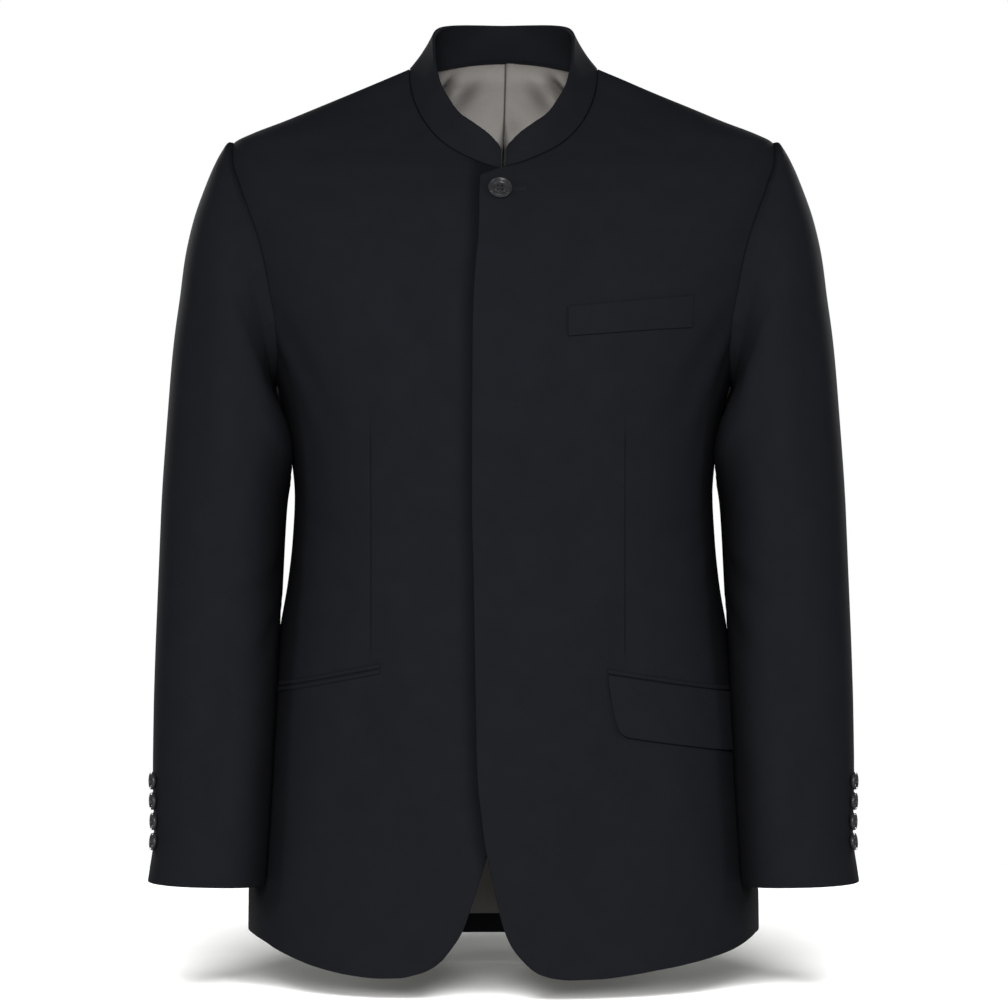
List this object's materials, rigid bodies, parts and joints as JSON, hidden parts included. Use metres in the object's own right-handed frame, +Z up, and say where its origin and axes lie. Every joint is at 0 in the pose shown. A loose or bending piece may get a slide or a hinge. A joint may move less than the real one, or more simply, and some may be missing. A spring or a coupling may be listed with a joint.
{
  "type": "band-collar blazer",
  "caption": "Men's single-breasted blazer with a standing band collar, concealed front, rounded cutaway hem, welt and flap pockets, filled out with no wearer",
  "frame": {"origin": "level with the two neck points where the shoulder seams meet the collar, on the centre line of the body, where the wearer's neck and shoulders hold the garment", "axes": "+Z up along the body, -Y out of the front, +X towards the wearer's left, which is the side that laps over"},
  "size_m": [0.5984, 0.2549, 0.8109],
  "materials": {
    "wool": "matte near-black navy worsted wool",
    "lining": "grey-taupe satin lining",
    "button": "semi-matt charcoal resin"
  },
  "bodies": {
    "root": {"front_left": "wool", "front_right": "wool", "side_left": "wool", "side_right": "wool", "back_left": "wool", "back_right": "wool", "sleeve_top_left": "wool", "sleeve_under_left": "wool", "sleeve_top_right": "wool", "sleeve_under_right": "wool", "collar": "wool", "lining_back": "lining", "breast_welt": "wool", "pocket_flap": "wool", "jet_left": "wool", "jet_right_upper": "wool", "jet_right_lower": "wool", "front_button": "button", "sleeve_button_left_1": "button", "sleeve_button_left_2": "button", "sleeve_button_left_3": "button", "sleeve_button_left_4": "button", "sleeve_button_right_1": "button", "sleeve_button_right_2": "button", "sleeve_button_right_3": "button", "sleeve_button_right_4": "button"}
  },
  "joints": []
}
